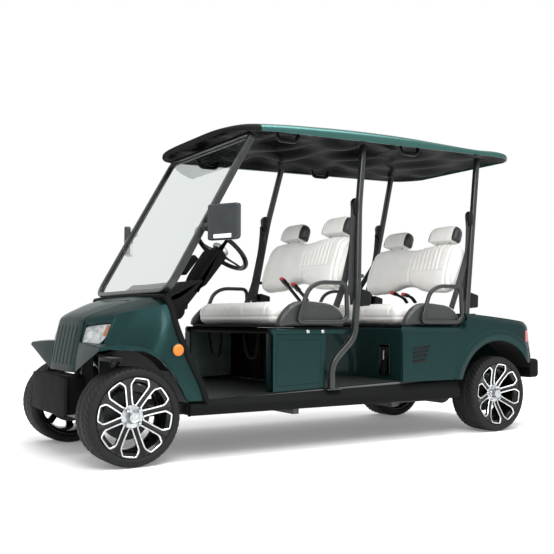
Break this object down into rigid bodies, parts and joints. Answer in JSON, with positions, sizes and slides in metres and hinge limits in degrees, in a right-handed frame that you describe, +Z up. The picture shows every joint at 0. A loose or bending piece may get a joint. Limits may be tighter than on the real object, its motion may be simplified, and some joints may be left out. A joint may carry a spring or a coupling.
{
  "type": "golf cart",
  "caption": "Open four-seat electric golf cart with a fixed roof, raked windshield, two forward-facing benches and road wheels.",
  "frame": {"origin": "ground under the middle of the cart, halfway between bumper faces and halfway across", "axes": "+X forward, +Y to the cart's left, +Z up"},
  "size_m": [3.23, 1.463, 1.8479],
  "materials": {
    "tyre": "matt rubber",
    "wheel_alloy": "black with machined edges",
    "bare_steel": "dull",
    "black_steel": "satin powder coat",
    "motor_casting": "cast",
    "battery_case": "matt",
    "green_paint": "metallic gloss",
    "black_plastic": "fine grain",
    "liner_plastic": "gloss",
    "clear_glass": "clear, faint green",
    "lamp_lens": "clear lens",
    "amber_lens": "amber lens",
    "red_lens": "red lens",
    "cream_vinyl": "smooth vinyl",
    "charcoal_vinyl": "grained vinyl"
  },
  "bodies": {
    "chassis": {"armrests": "black_plastic", "battery": "battery_case", "dashboard": "black_plastic", "floor": "black_plastic", "frame": "black_steel", "front_backrest": "cream_vinyl", "front_bumper": "black_plastic", "front_cowl": "green_paint", "front_seat_box": "black_plastic", "front_suspension": "bare_steel", "headlights": "lamp_lens", "leaf_springs": "black_steel", "mid_struts": "black_steel", "mirrors": "black_plastic", "motor": "motor_casting", "pedals": "black_plastic", "rear_axle": "bare_steel", "rear_backrest": "cream_vinyl", "rear_body": "green_paint", "rear_bumper": "black_plastic", "rear_struts": "black_steel", "rockers": "black_plastic", "roof_liner": "liner_plastic", "roof_shell": "green_paint", "shock_absorbers": "black_steel", "side_markers": "amber_lens", "side_pads": "charcoal_vinyl", "steering_column": "black_plastic", "tail_lights": "red_lens", "windshield_frame": "black_plastic", "windshield_glass": "clear_glass"},
    "wheel_front_left": {"tyre_front_left": "tyre", "rim_front_left": "wheel_alloy"},
    "wheel_front_right": {"tyre_front_right": "tyre", "rim_front_right": "wheel_alloy"},
    "wheel_rear_left": {"tyre_rear_left": "tyre", "rim_rear_left": "wheel_alloy"},
    "wheel_rear_right": {"tyre_rear_right": "tyre", "rim_rear_right": "wheel_alloy"},
    "steer_knuckle_left": {"knuckle_left": "bare_steel"},
    "steer_knuckle_right": {"knuckle_right": "bare_steel"},
    "steering_hand_wheel": {"steering_wheel": "black_plastic"},
    "steering_rod": {"track_rod": "bare_steel"},
    "front_seat_lid": {"front_seat_board": "black_plastic", "front_cushion": "cream_vinyl"},
    "rear_seat_lid": {"rear_seat_board": "black_plastic", "rear_cushion": "cream_vinyl"}
  },
  "joints": [
    {"name": "steer_left", "type": "hinge", "parent": "chassis", "child": "steer_knuckle_left", "pos_m": [1.343, 0.38, 0.24], "axis": [0, 0, 1], "range_deg": [-30, 30]},
    {"name": "steer_right", "type": "hinge", "parent": "chassis", "child": "steer_knuckle_right", "pos_m": [1.343, -0.38, 0.24], "axis": [0, 0, 1], "range_deg": [-30, 30]},
    {"name": "spin_front_left", "type": "hinge", "parent": "steer_knuckle_left", "child": "wheel_front_left", "pos_m": [1.343, 0.472, 0.24], "axis": [0, 1, 0], "continuous": true},
    {"name": "spin_front_right", "type": "hinge", "parent": "steer_knuckle_right", "child": "wheel_front_right", "pos_m": [1.343, -0.472, 0.24], "axis": [0, 1, 0], "continuous": true},
    {"name": "spin_rear_left", "type": "hinge", "parent": "chassis", "child": "wheel_rear_left", "pos_m": [-1.127, 0.492, 0.24], "axis": [0, 1, 0], "continuous": true},
    {"name": "spin_rear_right", "type": "hinge", "parent": "chassis", "child": "wheel_rear_right", "pos_m": [-1.127, -0.492, 0.24], "axis": [0, 1, 0], "continuous": true},
    {"name": "steering_wheel_turn", "type": "hinge", "parent": "chassis", "child": "steering_hand_wheel", "pos_m": [0.726, 0.27, 1.105], "axis": [-0.6428, 0, 0.766], "range_deg": [-300, 300]},
    {"name": "track_rod_slide", "type": "slide", "parent": "chassis", "child": "steering_rod", "axis": [0, 1, 0], "range_m": [-0.0605, 0.0605]},
    {"name": "front_seat_tip", "type": "hinge", "parent": "chassis", "child": "front_seat_lid", "pos_m": [0.533, 0, 0.6673], "axis": [0, 1, 0], "range_deg": [0, 60]},
    {"name": "rear_seat_tip", "type": "hinge", "parent": "chassis", "child": "rear_seat_lid", "pos_m": [-0.367, 0, 0.6673], "axis": [0, 1, 0], "range_deg": [0, 60]}
  ],
  "couplings": [
    {"joint": "steer_right", "follows": "steer_left", "ratio": 1},
    {"joint": "steering_wheel_turn", "follows": "steer_left", "ratio": 10},
    {"joint": "track_rod_slide", "follows": "steer_left", "m_per_rad": -0.115}
  ]
}
